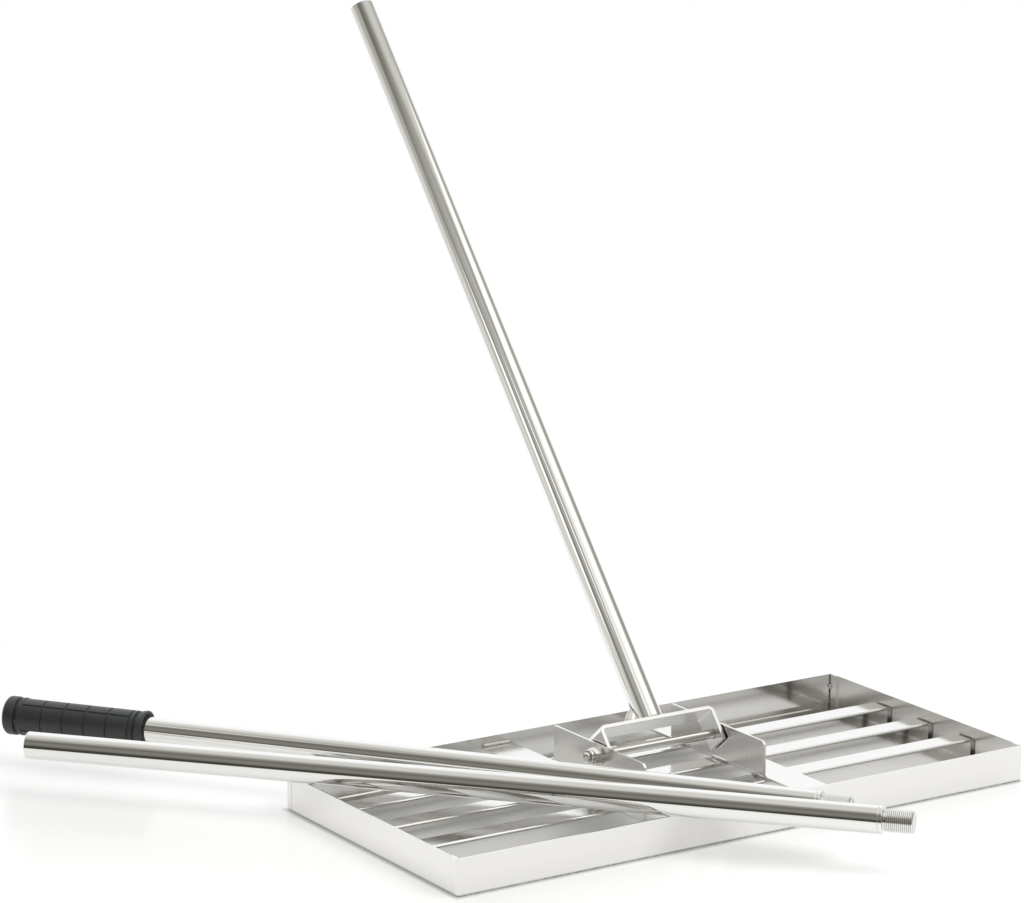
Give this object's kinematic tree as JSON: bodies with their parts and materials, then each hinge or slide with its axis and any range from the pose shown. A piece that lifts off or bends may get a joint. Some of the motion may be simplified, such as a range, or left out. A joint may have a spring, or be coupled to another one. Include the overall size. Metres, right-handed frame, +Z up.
{
  "type": "lawn leveling rake",
  "caption": "Lawn leveling rake: open tray-shaped head of bent steel with cross bars, a handle that swings on a bolt between brackets, and loose screw-on handle sections with a rubber grip.",
  "frame": {"origin": "middle of the head's footprint, on the ground", "axes": "+X along the head's long side, +Y from the front of the head to its back, the way the handle leans, +Z up"},
  "size_m": [0.7015, 0.7355, 0.5933],
  "materials": {
    "satin_sheet": "satin bright",
    "polished_tube": "polished",
    "weld_steel": "as welded, brushed",
    "fastener_steel": "bright",
    "nylon": "natural",
    "grip_rubber": "matte moulded"
  },
  "bodies": {
    "head": {"front_wall": "satin_sheet", "back_wall": "satin_sheet", "left_end_wall": "satin_sheet", "right_end_wall": "satin_sheet", "back_bar": "satin_sheet", "middle_bar": "satin_sheet", "front_bar": "satin_sheet", "left_bracket": "satin_sheet", "right_bracket": "satin_sheet", "left_bracket_welds": "weld_steel", "right_bracket_welds": "weld_steel", "corner_tack_welds": "weld_steel", "pivot_bolt": "fastener_steel", "bolt_head_washer": "fastener_steel", "right_spacer_washer": "fastener_steel", "left_spacer_washer": "fastener_steel", "nut_washer": "fastener_steel", "lock_nut": "fastener_steel", "nylon_insert": "nylon"},
    "handle": {"yoke": "satin_sheet", "lower_tube": "polished_tube", "tube_weld": "weld_steel"},
    "middle_section": {"middle_tube": "polished_tube", "middle_plug": "polished_tube"},
    "upper_section": {"upper_tube": "polished_tube", "upper_plug": "polished_tube", "grip": "grip_rubber"}
  },
  "joints": [
    {"name": "yoke_pivot", "type": "hinge", "parent": "head", "child": "handle", "pos_m": [0, 0, 0.0426], "axis": [1, 0, 0], "range_deg": [-50, 120]},
    {"name": "middle_lift", "type": "slide", "parent": "head", "child": "middle_section", "axis": [0, 0, 1], "range_m": [0, 0.3]},
    {"name": "upper_lift", "type": "slide", "parent": "head", "child": "upper_section", "axis": [0, 0, 1], "range_m": [0, 0.3]}
  ]
}
